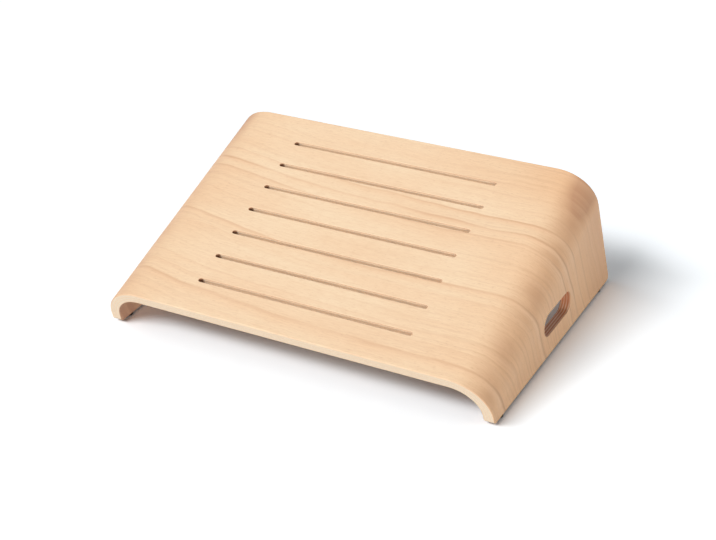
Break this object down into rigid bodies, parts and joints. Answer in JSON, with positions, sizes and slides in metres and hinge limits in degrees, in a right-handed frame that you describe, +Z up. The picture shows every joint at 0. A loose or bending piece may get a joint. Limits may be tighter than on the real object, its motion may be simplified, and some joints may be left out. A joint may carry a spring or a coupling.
{
  "type": "footrest",
  "caption": "Sloping footrest of moulded plywood, bent down along both sides, with slots across the foot board, a handle hole in each side panel and small rubber feet.",
  "frame": {"origin": "on the floor, below the middle of the footrest's overall box", "axes": "+X across the width to the right of someone in front of the low edge, +Y from the low front edge to the high rear edge, +Z up"},
  "size_m": [0.4656, 0.3424, 0.1527],
  "materials": {
    "beech_face": "clear matt lacquer, grain across the width",
    "beech_crossband": "bare veneer, grain from front to rear",
    "beech_core": "bare veneer, grain across the width",
    "black_rubber": "matt"
  },
  "bodies": {
    "root": {"top_face_veneer": "beech_face", "upper_outer_crossband": "beech_crossband", "upper_long_grain_veneer": "beech_core", "upper_inner_crossband": "beech_crossband", "middle_long_grain_veneer": "beech_core", "lower_inner_crossband": "beech_crossband", "lower_long_grain_veneer": "beech_core", "lower_outer_crossband": "beech_crossband", "bottom_face_veneer": "beech_face", "front_left_foot": "black_rubber", "front_right_foot": "black_rubber", "rear_left_foot": "black_rubber", "rear_right_foot": "black_rubber"}
  },
  "joints": []
}
